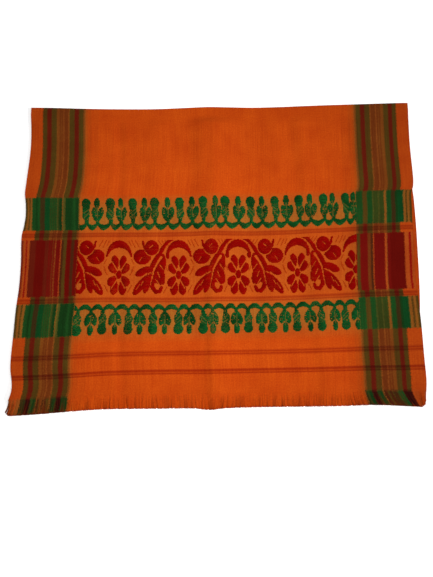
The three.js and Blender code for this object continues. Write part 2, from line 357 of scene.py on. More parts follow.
# Handloom cotton in plain weave: matt, a little uneven from thread to thread, with stripes that are
# in the warp and bands where a second, coloured weft is beaten in between the ground picks.

# What the eye sees where a warp yarn crosses a weft yarn, as the dye and the mixture give it
SHADES = dict(
    orange="#C6480A", burnt="#B6430C", rust="#AC4614", copper="#904A18", bark="#7C4012",
    brown="#6E310D", umber="#51390F", khaki="#7A521C", olive="#504C1A", moss="#343F13",
    leaf="#1A4418", pine="#143812", soot="#2C2C0E", maroon="#641808", wine="#640802",
    madder="#6E0C05", crimson="#8E0E05", garnet="#300A06", bistre="#48200A",
    russet="#7A2610", tan="#8C5219", teal="#0D4019", peat="#3A2A0F",
)

# Warp stripes from a selvedge inwards, the same at both sides, with what each shows where it is
# woven plain, with the green weft, with the red weft, and as bare warp. The extra wefts cover it
# more at the right.
WARP_STRIPES = table(
    "wide plain green green_right red red_right bare bare_right",
    (3.1, "burnt", "umber", "umber", "russet", "rust", "copper", "rust"),
    (4.4, "burnt", "tan", "tan", "rust", "crimson", "rust", "burnt"),
    (3.2, "burnt", "umber", "umber", "crimson", "rust", "copper", "burnt"),
    (4.2, "burnt", "tan", "tan", "rust", "rust", "rust", "rust"),
    (5.7, "burnt", "leaf", "teal", "maroon", "wine", "copper", "rust"),
    (4.2, "umber", "pine", "teal", "maroon", "wine", "soot", "garnet"),
    (4.7, "umber", "leaf", "pine", "wine", "wine", "soot", "garnet"),
    (8.0, "maroon", "peat", "peat", "wine", "wine", "garnet", "garnet"),
    (4.6, "umber", "teal", "leaf", "wine", "wine", "leaf", "leaf"),
    (4.9, "umber", "teal", "leaf", "maroon", "madder", "pine", "leaf"),
    (1.6, "bark", "moss", "khaki", "maroon", "copper", "bark", "umber"),
    (2.4, "bark", "leaf", "tan", "madder", "rust", "bistre", "peat"),
    (2.0, "bark", "moss", "moss", "maroon", "madder", "umber", "bistre"),
    (2.2, "brown", "leaf", "moss", "madder", "madder", "brown", "peat"),
    (1.8, "bark", "moss", "moss", "brown", "madder", "bark", "umber"),
    (2.2, "brown", "leaf", "moss", "madder", "madder", "bistre", "bistre"),
    (2.2, "copper", "olive", "olive", "copper", "madder", "bark", "peat"),
    (2.4, "brown", "moss", "moss", "madder", "madder", "bistre", "umber"),
    (4.6, "brown", "pine", "moss", "madder", "madder", "umber", "bistre"),
    (2.4, "copper", "tan", "olive", "rust", "rust", "copper", "copper"),
    (4.0, "umber", "olive", "leaf", "bistre", "bistre", "soot", "pine"),
    (4.7, "umber", "pine", "leaf", "umber", "brown", "pine", "pine"),
    (8.5, "maroon", "pine", "umber", "wine", "madder", "garnet", "garnet"),
    (5.2, "umber", "leaf", "leaf", "bistre", "madder", "pine", "pine"),
    (3.4, "umber", "pine", "leaf", "wine", "umber", "pine", "leaf"),
    (2.2, "bark", "pine", "leaf", "wine", "umber", "pine", "soot"),
    (2.2, "copper", "olive", "leaf", "madder", "madder", "copper", "copper"),
)
FIELD_EDGE = [(3.5, "#AC460D"), (7, "#B8450B"), (14, "#C0460A")]  # dye that has bled inwards
FIELD = "#C6480A"
HALF_WIDTH = CLOTH_WIDTH / 2
FIELD_START = 101

# Weft bands, behind the end of the weaving: the stretches where the second weft is green or red
GREEN_FRONT_BAND = (101.8, 155.4)
RED_BAND = (168, 270.8)
GREEN_REAR_BAND = (288.6, 350.1)

# Between the motifs the extra wefts pass below the ground and dull it, most in the green bands:
# each place behind the end of the weaving, and how much
DULL_GROUND = [
    (88, 0), (103, 0.4), (116, 1), (142, 1), (154, 0.55), (163, 0.2), (180, 0.38), (256, 0.38),
    (270, 0.25), (281, 0.2), (290, 0.5), (302, 1), (331, 1), (344, 0.5), (357, 0),
]
DULL_SHADE = "#A25A1D"

# Dark weft lines, in pairs: a line is two or three dark red picks
LINE_PAIRS = table(
    "middle strength",
    (37.3, 0.68),
    (69.3, 0.68),
    (161.4, 0.6),
    (280.4, 0.6),
)
LINE_WIDE = 2.2
LINE_GAP = 2.8
LINE_EDGE = 0.8  # over which a line runs out, because its picks are beaten in unevenly
LINE_BETWEEN = 0.35
LINE_DYE = "#B34A7C"  # times the colour of the warp that a line crosses

LOOSE_PICKS = 5  # at the end of the weaving, beaten in loosely
BARE_WARP = 25  # from the last pick to the cut tips
BARE_WARP_PAINTED_LIGHT = 1.06  # painted light: the bare warp is made brighter to make up for the shade between its loose threads

# From the cut tips to 12 mm into the weaving: how much painted shade shows in the streaks where the
# threads part, and how much painted shade darkens all of it near the cut tips
HEM_DEPTH = 12
# Painted shade: the colour that the gaps between parted threads and the cut tips are darkened
# towards
HEM_PAINTED_SHADE = "#6C1E05"
HEM_PAINTED_SHADING = table("along parted dark", (0, 0.8, 0.5), (0.09, 0.8, 0), (0.78, 0.1, 0), (1, 0, 0))
HEM_SHADE_STREAKS = dict(swings=(330, 16), detail=3, between=(0.46, 0.68), gain=(0, 0.9))

# Slubs and uneven dye: how often the shade swings a metre, across and behind, and how far
SHADE_SWINGS = table(
    "across behind least most",
    (900, 12, 0.92, 1.07),
    (9, 700, 0.98, 1.02),
    (70, 5, 0.98, 1.02),
    (24, 24, 0.94, 1.06),
    (420, 420, 0.91, 1.08),
)
SHADE_LEVELS = (0.3, 0.7)
DEEP_DYE = 2.2  # where the dye took deeper the yarn is redder too
EDGE_WANDER = 8  # how far a yarn may stray at a stripe's or a band's edge, which is so soft
WANDER_SWINGS = 800
THREAD_PITCH = 1.1  # real threads are 0.45 mm apart, drawn coarser so that they show

# Cotton yarn is rough all over, with next to no gloss. Relief is the height of a thread's crown.
PLAIN_WEAVE = dict(strength=0.6, relief=0.12, roughness=0.95, gloss=0.06)


def linear(hex_colour):
    """An sRGB hex colour as the linear values that Blender's sockets take."""
    parts = [int(hex_colour[i : i + 2], 16) / 255 for i in (1, 3, 5)]
    curved = [p / 12.92 if p <= 0.04045 else ((p + 0.055) / 1.055) ** 2.4 for p in parts]
    return (*curved, 1)


def add(tree, kind, links=None, stops=None, steps=True, **settings):
    """Adds a node with its settings, its inputs as values or links, and a ramp's stops, which are
    steps or run into each other. A node that is linked gives its first output."""
    node = tree.nodes.new("ShaderNode" + kind)
    for name, value in settings.items():
        setattr(node, name, value)
    for socket, source in (links or {}).items():
        if isinstance(source, bpy.types.Node):
            source = next(output for output in source.outputs if output.enabled)
        if isinstance(source, bpy.types.NodeSocket):
            tree.links.new(source, node.inputs[socket])
        else:
            node.inputs[socket].default_value = source
    if stops:
        ramp = node.color_ramp
        ramp.interpolation = "CONSTANT" if steps else "LINEAR"
        while len(ramp.elements) < len(stops):
            ramp.elements.new(1)
        for element, (place, colour) in zip(ramp.elements, stops):
            element.position = place
            element.color = colour
    return node


def striped_warp(column):
    """Stops of a ramp from a selvedge to the middle, with one column of the stripe table."""
    stripes = [(stripe["wide"], SHADES[stripe[column]]) for stripe in WARP_STRIPES]
    stops, place = [], 0
    for wide, shade in stripes + FIELD_EDGE + [(0, FIELD)]:
        stops.append((place / HALF_WIDTH, linear(shade)))
        place += wide
    return stops


def weft_lines():
    """Stops of a ramp along the cloth that is white on the dark weft lines."""
    stops = []
    for pair in LINE_PAIRS:
        inner, outer = LINE_GAP / 2, LINE_GAP / 2 + LINE_WIDE
        for place, dark in (
            (-outer - LINE_EDGE, 0), (-outer, 1), (-inner, 1), (LINE_EDGE - inner, LINE_BETWEEN),
            (inner - LINE_EDGE, LINE_BETWEEN), (inner, 1), (outer, 1), (outer + LINE_EDGE, 0),
        ):
            shade = (dark * pair["strength"],) * 3 + (1,)
            stops.append(((pair["middle"] + place) / FACE_LENGTH, shade))
    return stops


def start_cotton(name):
    """A material, its node tree, and the place in the cloth of what it covers."""
    material = bpy.data.materials.new(name)
    material.use_nodes = True
    tree = material.node_tree
    tree.nodes.clear()
    return material, tree, add(tree, "UVMap", uv_map="Threads")


def unevenness(tree, threads, swings, detail, between, gain=(0, 1)):
    """A gain that swings so often a metre, across and behind. Noise spreads it between levels."""
    stretched = add(tree, "VectorMath", {0: threads, 1: (*swings, 1)}, operation="MULTIPLY")
    noise = add(tree, "TexNoise", {"Vector": stretched, "Scale": 1, "Detail": detail})
    return add(tree, "MapRange", {"Value": noise, "From Min": between[0], "From Max": between[1],
                                  "To Min": gain[0], "To Max": gain[1]})


def finish_cotton(tree, colour, height, strength, relief, roughness, gloss):
    bump = add(tree, "Bump", {"Strength": strength, "Distance": relief * MM, "Height": height})
    shader = add(tree, "BsdfPrincipled", {"Base Color": colour, "Roughness": roughness,
                                          "Specular IOR Level": gloss, "Normal": bump})
    add(tree, "OutputMaterial", {"Surface": shader})


def handloom_cotton(name, banded, bare=False):
    """The woven cloth's material, or its bare warp's: warp stripes, second wefts, dark lines,
    thread-to-thread unevenness and the small crowns of a plain weave."""
    material, tree, threads = start_cotton(name)
    place = add(tree, "SeparateXYZ", {"Vector": threads})
    straight_across, straight_behind = place.outputs["X"], place.outputs["Y"]
    # Yarns cross to and fro at the edge of a stripe or a band
    finer = add(tree, "TexNoise", {"Vector": threads, "Scale": WANDER_SWINGS, "Detail": 1})
    wander = add(tree, "VectorMath",
                 {0: finer.outputs["Color"], 1: (EDGE_WANDER * MM,) * 3, 2: threads},
                 operation="MULTIPLY_ADD")
    wander = add(tree, "VectorMath", {0: wander, 1: (EDGE_WANDER * MM / 2,) * 3},
                 operation="SUBTRACT")
    place = add(tree, "SeparateXYZ", {"Vector": wander})
    across, behind = place.outputs["X"], place.outputs["Y"]
    # 0 at either selvedge and 1 in the middle of the cloth
    off_middle = add(tree, "Math", {0: across, 1: HALF_WIDTH * MM}, operation="SUBTRACT")
    off_middle = add(tree, "Math", {0: off_middle}, operation="ABSOLUTE")
    inward = add(tree, "Math", {0: off_middle, 1: -1 / (HALF_WIDTH * MM), 2: 1},
                 operation="MULTIPLY_ADD")
    at_right = add(tree, "Math", {0: across, 1: HALF_WIDTH * MM}, operation="GREATER_THAN")

    def both_sides(column):
        sides = [add(tree, "ValToRGB", {"Fac": inward}, striped_warp(side))
                 for side in (column, column + "_right")]
        return add(tree, "Mix", {"Factor": at_right, "A": sides[0], "B": sides[1]},
                   data_type="RGBA")

    if bare:
        colour = both_sides("bare")
    else:
        colour = add(tree, "ValToRGB", {"Fac": inward}, striped_warp("plain"))
    covers = []  # what changes that colour in turn, where, and how it mixes
    if banded:
        along, straight_along = (
            add(tree, "Math", {0: at, 1: 1 / (FACE_LENGTH * MM)}, operation="MULTIPLY")
            for at in (behind, straight_behind)
        )
        # Among the last, loose picks the bare warp's colours already show
        loose = add(tree, "Math", {0: behind, 1: -1 / LOOSE_PICKS / MM, 2: 1},
                    operation="MULTIPLY_ADD", use_clamp=True)
        none, green, red = (0, 0, 0, 1), (1, 0, 0, 1), (0, 1, 0, 1)
        stops = [(0, none)]
        for band, mark in ((GREEN_FRONT_BAND, green), (RED_BAND, red), (GREEN_REAR_BAND, green)):
            stops += [(band[0] / FACE_LENGTH, mark), (band[1] / FACE_LENGTH, none)]
        marks = add(tree, "ValToRGB", {"Fac": along}, stops)
        marks = add(tree, "SeparateColor", {"Color": marks})
        stops = [(place / FACE_LENGTH, (part, part, part, 1)) for place, part in DULL_GROUND]
        dull = add(tree, "ValToRGB", {"Fac": along}, stops, steps=False)
        field = add(tree, "Math", {0: inward, 1: FIELD_START / HALF_WIDTH},
                    operation="GREATER_THAN")
        dull = add(tree, "Math", {0: dull, 1: field}, operation="MULTIPLY")
        lines = add(tree, "ValToRGB", {"Fac": straight_along}, weft_lines(), steps=False)
        covers = [
            (both_sides("bare"), loose, "MIX"),
            (both_sides("green"), marks.outputs["Red"], "MIX"),
            (both_sides("red"), marks.outputs["Green"], "MIX"),
            (linear(DULL_SHADE), dull, "MIX"),
            (linear(LINE_DYE), lines, "MULTIPLY"),
        ]
    # Towards the hem the threads part here and there, and painted shade darkens the gaps between
    # them and the cut tips
    gap_shade_streaks = unevenness(tree, threads, **HEM_SHADE_STREAKS)
    hem = add(tree, "MapRange",
              {"Value": behind, "From Min": -BARE_WARP * MM, "From Max": HEM_DEPTH * MM})
    stops = [(row["along"], (row["parted"], row["dark"], 0, 1)) for row in HEM_PAINTED_SHADING]
    hem = add(tree, "ValToRGB", {"Fac": hem}, stops, steps=False)
    hem = add(tree, "SeparateColor", {"Color": hem})
    parted = add(tree, "Math", {0: gap_shade_streaks, 1: hem.outputs["Red"], 2: hem.outputs["Green"]},
                 operation="MULTIPLY_ADD", use_clamp=True)
    covers.append((linear(HEM_PAINTED_SHADE), parted, "MIX"))
    for cover, where, blend in covers:
        colour = add(tree, "Mix", {"Factor": where, "A": colour, "B": cover},
                     data_type="RGBA", blend_type=blend)
    shade = 1
    for row in SHADE_SWINGS:
        part = unevenness(tree, threads, (row["across"], row["behind"]), 2, SHADE_LEVELS,
                          (row["least"], row["most"]))
        shade = add(tree, "Math", {0: shade, 1: part}, operation="MULTIPLY")
    deeper = add(tree, "Math", {0: shade, 1: DEEP_DYE}, operation="POWER")
    tone = add(tree, "CombineXYZ", {"X": shade, "Y": deeper, "Z": deeper})
    # Painted light: the bare warp's colour is raised to make up for the shade between its threads
    tone = add(tree, "VectorMath", {0: tone, "Scale": BARE_WARP_PAINTED_LIGHT if bare else 1},
               operation="SCALE")
    colour = add(tree, "VectorMath", {0: colour, 1: tone}, operation="MULTIPLY")
    # Crowns where warp and weft cross, in a checker of up and down
    waves = []
    for way in (straight_across, straight_behind):
        angle = add(tree, "Math", {0: way, 1: math.pi / (THREAD_PITCH * MM)}, operation="MULTIPLY")
        waves.append(add(tree, "Math", {0: angle}, operation="SINE"))
    crossing = add(tree, "Math", {0: waves[0], 1: waves[1]}, operation="MULTIPLY")
    crown = add(tree, "Math", {0: crossing}, operation="ABSOLUTE")
    finish_cotton(tree, colour, crown, **PLAIN_WEAVE)
    return material


top_third = face_cloth()
top_third.data.materials.append(handloom_cotton("handloom_cotton_banded", banded=True))
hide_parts("face_panel")
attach(top_third, "root")


# ---- The hidden thirds ---------------------------------------------------------------------
# The same cloth, running forward along the surface to the front fold, where it turns back on
# itself. Its two layers show at the selvedges, at the front fold and under the fringe.

HIDDEN_GRID = 8
LOWER_MIDDLE = 0.45  # height of the middle of each layer's thickness
UPPER_MIDDLE = 1.85
FRONT_FOLD = 1.8  # behind the fringe's tips
UPPER_INSET = 1.1  # the upper layer's selvedges lie a little inside the lower layer's
INSET_WAVER = 0.5  # and waver by this part, in waves of their own at left and right
LEFT_WAVE = 37
RIGHT_WAVE = 29
HIDDEN_START = 10  # where the lower layer takes over from the rear fold's return
FRONT_FOLD_STEPS = 8
FRONT_FOLD_STEP = 0.3  # of cloth between two of them
PAST_REAR_FOLD = 20  # of cloth, from the top third to the hidden thirds


def hidden_cloth():
    across = np.linspace(0, 1, int(CLOTH_WIDTH / HIDDEN_GRID) + 1)
    front_radius = (UPPER_MIDDLE - LOWER_MIDDLE) / 2
    length = ENDS[0]["fold"] - ENDS[0]["tip"]
    layer_steps = int(length / HIDDEN_GRID)
    stations = []  # along the layer from the front (0) to the rear (1), then turn and inset
    for along in np.linspace(1, 0, layer_steps + 1):
        stations.append((along, 0.0, 0.0))
    for turn in np.linspace(0, math.pi, FRONT_FOLD_STEPS + 1)[1:-1]:
        stations.append((0.0, turn, UPPER_INSET * turn / math.pi))
    for along in np.linspace(0, 1, layer_steps + 1):
        stations.append((along, math.pi, UPPER_INSET))
    sides = {1: [], -1: []}
    threads = []
    travelled = FACE_LENGTH + PAST_REAR_FOLD
    for along, turn, inset in stations:
        nominal = ENDS[0]["tip"] + along * length
        left = hidden_left(nominal) + inset * (1 + INSET_WAVER * math.sin(nominal / LEFT_WAVE))
        right = hidden_right(nominal) - inset * (1 + INSET_WAVER * math.sin(nominal / RIGHT_WAVE))
        x = left + (right - left) * across
        front = tip_line(x) + FRONT_FOLD + front_radius
        rear = fold_line(x) - FOLD_RADIUS - FOLD_INSET - HIDDEN_START
        y = front + along * (rear - front)
        for side in sides:
            radius = front_radius + side * CLOTH_THICKNESS / 2
            height = np.full_like(x, (LOWER_MIDDLE + UPPER_MIDDLE) / 2 - radius * math.cos(turn))
            reach = y - radius * math.sin(turn)
            sides[side].append(np.stack([x, reach, height], axis=-1)[None])
        threads.append(np.stack([across * CLOTH_WIDTH, np.full_like(x, travelled)], axis=-1)[None])
        travelled += HIDDEN_GRID if turn in (0.0, math.pi) else FRONT_FOLD_STEP
    outer, inner, threads = (np.concatenate(part) for part in (sides[-1], sides[1], threads))
    return cloth_shell("hidden_thirds", outer, inner, threads)


hidden_thirds = hidden_cloth()
hidden_thirds.data.materials.append(handloom_cotton("handloom_cotton_plain", banded=False))
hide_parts("under_layers")
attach(hidden_thirds, "root")


# ---- The red flower band -------------------------------------------------------------------
# Flowers under arches with leafy sprays between them, in thick dark red cotton. The weaver lays
# each coloured pick in by hand over the ground, so a motif is rows of short floats, stepped at
# its edges by whole warp ends.

PICK = 1.1  # between two coloured picks
CELL = 1.4  # the smallest step of a motif's edge, a few warp ends
FLOAT_WIDE = 1.2
FLOAT_HIGH = 0.34
FLOAT_END = 0.08  # how high it still is where it dives
FLOAT_DIVE = 0.28 * CELL  # over which it dives
FLOAT_SUNK = 0.12  # of its rims, below the ground's crowns
FLOAT_STEP = 9  # between two points along a float
RAGGED = 0.35  # how far a float may run over its cells
ASTRAY = 0.07  # and lie off its pick
HIGH_SPREAD = (0.85, 1.15)
WIDE_SPREAD = (0.94, 1.04)
FLOWER_PITCH = 105.7
FIRST_FLOWER = 174.8
FLOWER_LEVEL = 39.5  # a flower's middle above the front edge of the band

# Petals of the left half of a flower, from its middle. Full is above 1 where a petal is widest
# towards its tip.
PETALS = table(
    "x y length wide turn full",
    (-5, 5.5, 28.5, 12.8, 97, 1.4),
    (-6.2, 0.8, 20.5, 14.6, 117, 1.15),
    (-6.2, -3.8, 20.5, 15, 240, 1.15),
    (-4.8, -9.5, 28, 13.2, 262, 1.5),
)
PETAL_BLUNT = 0.52  # the lower, the blunter
MIDDLE_GAP = 0.9
HEART = dict(middle_x=0, middle_y=-1.2, wide=4.7, high=7.6)
FLOWER_GAP = 2
FLOWER_GAPS = [
    [(-1, 3), (-12.5, 22)],
    [(-4, -1.8), (-20, -1.8)],
    [(-1, -7), (-11.5, -25)],
]
ARCH = dict(middle_x=0, middle_y=30, wide=23, high=32.3)
ARCH_HOLLOW = dict(middle_x=0, middle_y=27.5, wide=20.6, high=20.6)
ARCH_FOOT_LEVEL = 31

# A spray, from the middle of the flower whose arch it springs from towards the next flower
STEM = dict(points=[(9, 66), (19, 58.5), (29, 46), (37, 33), (44.5, 20), (49, 8)], start=7, end=9)
INNER_GAP = dict(points=[(6, 62.5), (14, 58.5), (21.5, 50.5), (26, 41.5)], start=1.8)
MIDRIB_GAP = dict(
    points=[(31, 31), (37, 22), (44, 8), (46.5, -6), (49.5, -21)], start=4.6, end=1.2
)
HOOK = dict(
    points=[(44.5, 0), (46.5, -12), (45, -24), (39, -31.5), (32.5, -30.5), (30, -24)],
    start=8, end=6,
)
ARCH_FOOT = dict(points=[(19.5, 38), (19.5, 31)], start=6)  # blunt where the spray springs
LEAVES = table(
    "x y length wide turn full",
    (46, 13, 34, 14.5, -26, 1.1),
    (53, 0, 45, 14.5, -56, 1.3),
    (49.5, 2, 37.5, 11.5, -75, 1.2),
    (27.5, 37, 56, 21, -74, 1.0),
    (38, 22, 42, 14, -106, 1.1),
    (39, 6, 19, 9.5, -122, 0.8),
    (42, -4, 20, 8.5, -128, 0.8),
)
LEAF_GAP = 1.6
LEAF_GAPS = [
    [(33, 17), (27, 8)],
    [(37, 4), (33, -6)],
    [(56, 2), (71, -10)],
    [(40, -9), (33, -19)],
]
BUD = dict(middle_x=47.5, middle_y=48.5, wide=12.4, high=14.2)
ROUND_BUD = dict(middle_x=47.5, middle_y=48.5, wide=14.2, high=16)
SEPAL = dict(points=[(63.5, 60.5), (61.5, 51), (56.5, 43)], start=3, end=6)
KIDNEY = dict(middle_x=65, middle_y=31.5, wide=15.2, high=14.2)
KIDNEY_STALK = dict(points=[(62, 25.5), (51, 28.5)], start=9, end=4)
VEIN = 1.4
VEINS = [
    [(46, 53), (51, 48.5)],
    [(66, 30), (70, 24)],
    [(68, -18), (74, -28)],
    [(62, -12), (66, -20)],
]
HATCH = 1.3
HATCHES = [
    [(24, 63), (17, 52)], [(30, 63), (23, 51)], [(36, 63), (30, 53)], [(77, 63), (70, 50)],
    [(83, 62), (77, 49)], [(88, 61), (84, 52)],
    [(80, 8), (86, -2)], [(83, 6), (79, 14)], [(82, -20), (88, -32)], [(20, -22), (25, -33)],
    [(79, 18), (84, 27)], [(19, 6), (23, 15)],
]


def petal(x, y, shape):
    """Cells inside a leaf or petal."""
    turn = math.radians(shape["turn"])
    over, up = x - shape["x"], y - shape["y"]
    out = (over * math.cos(turn) + up * math.sin(turn)) / shape["length"]
    aside = up * math.cos(turn) - over * math.sin(turn)
    swell = np.sin(np.pi * np.clip(out, 0, 1) ** shape["full"]) ** PETAL_BLUNT
    return (out > 0) & (out < 1) & (np.abs(aside) < shape["wide"] / 2 * swell)


def oval(x, y, middle_x, middle_y, wide, high, size=1):
    return np.hypot((x - middle_x) / wide, (y - middle_y) / high) < size


def stroke(x, y, points, start, end=None):
    """Cells within a line through some points, as wide as it says at its start and its end."""
    inside = np.zeros(x.shape, bool)
    end = end or start
    steps = len(points) - 1
    for i, ((x0, y0), (x1, y1)) in enumerate(zip(points, points[1:])):
        run, rise = x1 - x0, y1 - y0
        t = np.clip(((x - x0) * run + (y - y0) * rise) / (run**2 + rise**2), 0, 1)
        wide = start + (end - start) * (i + t) / steps
        inside |= np.hypot(x - x0 - t * run, y - y0 - t * rise) < wide / 2
    return inside


def flower(x, y):
    """A flower of eight petals round an oval heart, under its arch."""
    near = -np.abs(x)
    inside = np.zeros(x.shape, bool)
    for shape in PETALS:
        inside |= petal(near, y, shape) & (near < -MIDDLE_GAP)
    for gap in FLOWER_GAPS:
        inside &= ~stroke(near, y, gap, FLOWER_GAP)
    arch = oval(x, y, **ARCH) & ~oval(x, y, **ARCH_HOLLOW) & (y > ARCH_FOOT_LEVEL)
    return inside | oval(x, y, **HEART) | arch


def spray(x, y):
    """A leafy spray with two buds on its outer side and a hooked leaf on its inner side."""
    inside = stroke(x, y, **STEM) | stroke(x, y, **HOOK)
    for shape in LEAVES:
        inside |= petal(x, y, shape)
    for gap in LEAF_GAPS:
        inside &= ~stroke(x, y, gap, LEAF_GAP)
    inside |= stroke(x, y, **ARCH_FOOT)
    inside &= ~stroke(x, y, **INNER_GAP) & ~stroke(x, y, **MIDRIB_GAP)
    round_bud = oval(x, y, **ROUND_BUD)
    inside = inside & ~round_bud | oval(x, y, **BUD) | stroke(x, y, **SEPAL)
    inside |= oval(x, y, **KIDNEY) & ~round_bud | stroke(x, y, **KIDNEY_STALK)
    for vein in VEINS:
        inside &= ~stroke(x, y, vein, VEIN)
    return inside


def band_grid(band):
    """Middles of a band's cells: across the cloth, and behind the band's front edge."""
    cells = np.arange(FIELD_START + CELL / 2, CLOTH_WIDTH - FIELD_START, CELL)
    picks = np.arange(PICK / 2, band[1] - band[0], PICK)
    return np.meshgrid(cells, picks)


FLOWERS = 5
# Sprays by the flower they spring from, counted from the first: some lean right, some left
SPRAYS = table("flower way", (-1, 1), (1, -1), (2, -1), (2, 1), (3, 1))


def flower_chart():
    """The weaver's chart of the red band: which cells of the ground each pick floats over."""
    across, behind = band_grid(RED_BAND)
    up = behind - FLOWER_LEVEL
    chart = np.zeros(across.shape, bool)
    hatching = np.zeros(across.shape, bool)
    for number in range(FLOWERS):
        chart |= flower(across - FIRST_FLOWER - number * FLOWER_PITCH, up)
    for row in SPRAYS:
        from_flower = row["way"] * (across - FIRST_FLOWER - row["flower"] * FLOWER_PITCH)
        chart |= spray(from_flower, up)
        for hatch in HATCHES:
            hatching |= stroke(from_flower, up, hatch, HATCH)
    return chart, hatching & ~chart


def lay_floats(name, chart, band, seed):
    """Coloured picks over the ground: for each run of marked cells one domed, closed float."""
    uneven = np.random.default_rng(seed)
    section = np.array([(-0.5, 0), (-0.36, 1), (0.36, 1), (0.5, 0)])  # parts of wide and high
    points, faces, threads = [], [], []
    count = 0
    for pick, row in enumerate(chart):
        edges = np.flatnonzero(np.diff(np.concatenate([[0], row.astype(int), [0]])))
        for start, end in zip(edges[::2], edges[1::2]):
            low, high = FIELD_START + start * CELL, FIELD_START + end * CELL
            low, high = low - RAGGED * uneven.random(), high + RAGGED * uneven.random()
            steps = max(1, round((high - low) / FLOAT_STEP))
            crest = np.linspace(low + FLOAT_DIVE, high - FLOAT_DIVE, steps + 1)
            along = np.concatenate([[low], crest, [high]])
            lift = np.full(len(along), FLOAT_HIGH * uneven.uniform(*HIGH_SPREAD))
            lift[[0, -1]] = FLOAT_END
            behind = band[0] + (pick + 0.5) * PICK + ASTRAY * (uneven.random() - 0.5)
            wide = FLOAT_WIDE * uneven.uniform(*WIDE_SPREAD)
            a = np.repeat(along, 4)
            b = behind + np.tile(section[:, 0] * wide, len(along))
            x, y = lie(a, b)
            z = face_height(a, b) + np.repeat(lift, 4) * np.tile(section[:, 1], len(along))
            z -= np.tile([FLOAT_SUNK, 0, 0, FLOAT_SUNK], len(along))
            points.append(np.stack([x, y, z], axis=-1))
            threads.append(np.stack([a, b], axis=-1))
            ring = count + np.arange(len(along) * 4).reshape(-1, 4)
            turn = np.roll(ring, -1, axis=1)
            sides = np.stack([ring[:-1], ring[1:], turn[1:], turn[:-1]], axis=-1)
            faces.append(sides.reshape(-1, 4))
            faces.append(np.array([ring[0], ring[-1][::-1]]))
            count += len(along) * 4
    points, faces, threads = (np.concatenate(part) for part in (points, faces, threads))
    span = np.ptp(threads, axis=0)
    bake = (threads - threads.min(axis=0)) / span * (1 - 2 * BAKE_MARGIN) + BAKE_MARGIN
    return build_piece(name, points, faces, threads, bake[faces.ravel()])


PICK_SWINGS = dict(swings=(110, 900), detail=3, between=(0.32, 0.68))
SPOOL_SWINGS = dict(swings=(34, 34), detail=1, between=(0.36, 0.56), gain=(0.2, 1))
FIBRES = dict(swings=(1500, 4200), detail=2, between=(0, 1))
TWO_PLY = dict(strength=0.5, relief=0.12, roughness=0.92, gloss=0.04)


def float_yarn(name, deep, bright):
    """Soft two-ply cotton laid in by hand: matt, with light and deep stretches along each pick,
    and deeper where a spool was dyed deeper."""
    material, tree, threads = start_cotton(name)
    picks = unevenness(tree, threads, **PICK_SWINGS)
    spools = unevenness(tree, threads, **SPOOL_SWINGS)
    light = add(tree, "Math", {0: picks, 1: spools}, operation="MULTIPLY")
    colour = add(tree, "Mix", {"Factor": light, "A": linear(deep), "B": linear(bright)},
                 data_type="RGBA")
    finish_cotton(tree, colour, unevenness(tree, threads, **FIBRES), **TWO_PLY)
    return material


red_chart, red_hatching = flower_chart()
flower_band = lay_floats("red_flower_band", red_chart, RED_BAND, seed=1)
flower_band.data.materials.append(float_yarn("red_float_yarn", "#820200", "#9A0300"))
hatch_lines = lay_floats("red_band_hatching", red_hatching, RED_BAND, seed=2)
hatch_lines.data.materials.append(float_yarn("pale_float_yarn", "#A63206", "#B03A08"))
for piece in (flower_band, hatch_lines):
    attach(piece, "root")


# ---- The green curl bands ------------------------------------------------------------------
# A border of curls in dark green cotton on each side of the red one, laid in like it. Big curls
# and small buds stand in turn on a line of hanging loops. The front band is the rear one upside
# down.

BAND_HIGH = 61.5  # of the rear band; the front one is beaten closer
CURL_BANDS = dict(
    green_rear_band=dict(
        band=GREEN_REAR_BAND, upside_down=False, foot=2, seed=3,
        curls=[112.5, 154.5, 193.8, 233.8, 278.8, 321.3, 361.3, 407.5, 451.3, 495, 540, 580],
        buds=[131.3, 172.5, 215.5, 257, 301.3, 343.8, 385, 427.5, 472, 515, 556.3, 594],
    ),
    green_front_band=dict(
        band=GREEN_FRONT_BAND, upside_down=True, foot=0, seed=4,
        curls=[107.5, 150.8, 195, 237.5, 281.3, 323.8, 362, 401.3, 442.5, 486.3, 531.3, 575],
        buds=[130.8, 172.5, 215, 258, 300, 340.8, 381.3, 424.3, 465.5, 510.8, 555.8, 596],
    ),
)


# Sizes of a motif, up from the front edge of the band that stands upright
LOOP = dict(level=13.6, sag=7.7, round=0.8, thin=3.5, thicker=2, last=20)
CURL_SIZES = (0.94, 1.06)
CURL_LEAN = 1.5
HEAD = dict(middle_x=0, middle_y=51.3, wide=8, high=9.8)
BODY_LEVELS = (45, 32, 13)
BODY = dict(start=13, end=5.5)
BELLY = dict(middle_y=30.5, high=11)
BELLY_WIDE = 7
TWISTS = [[(-5, 41), (4, 33)], [(-5, 35), (4, 24)]]  # two thin lines across a belly
TWIST = 1.7
BUD_SIZES = (0.93, 1.07)
SMALL_HEAD = dict(middle_x=0, middle_y=51.5, wide=4.9, high=10.3)
BUD_LEAF = dict(y=17, length=27, full=1.15)
BUD_LEAF_ASIDE = 2
BUD_LEAF_WIDE = 11.6
BUD_LEAF_TURN = (10, 14)
BUD_ROOM = 21  # to the next curl, where the leaves of a bud have full room
BRIDGE_CHANCE = 0.35
BRIDGE = [(-6, 39), (6, 39)]  # some buds' leaves are joined by a short bar
BRIDGE_WIDE = 5
RIB_LEVELS = (46, 24)
RIB_FOOT = 0.7  # of the way that the motif's foot lies aside
RIB = dict(start=2.2, end=1.6)
NECK_LEVELS = (22, 12)
NECK = dict(start=5, end=6.5)
LINES_ABOVE = 20
SKIPPED = dict(chance=0.05, above=16, below=42)  # cells that the weaver missed


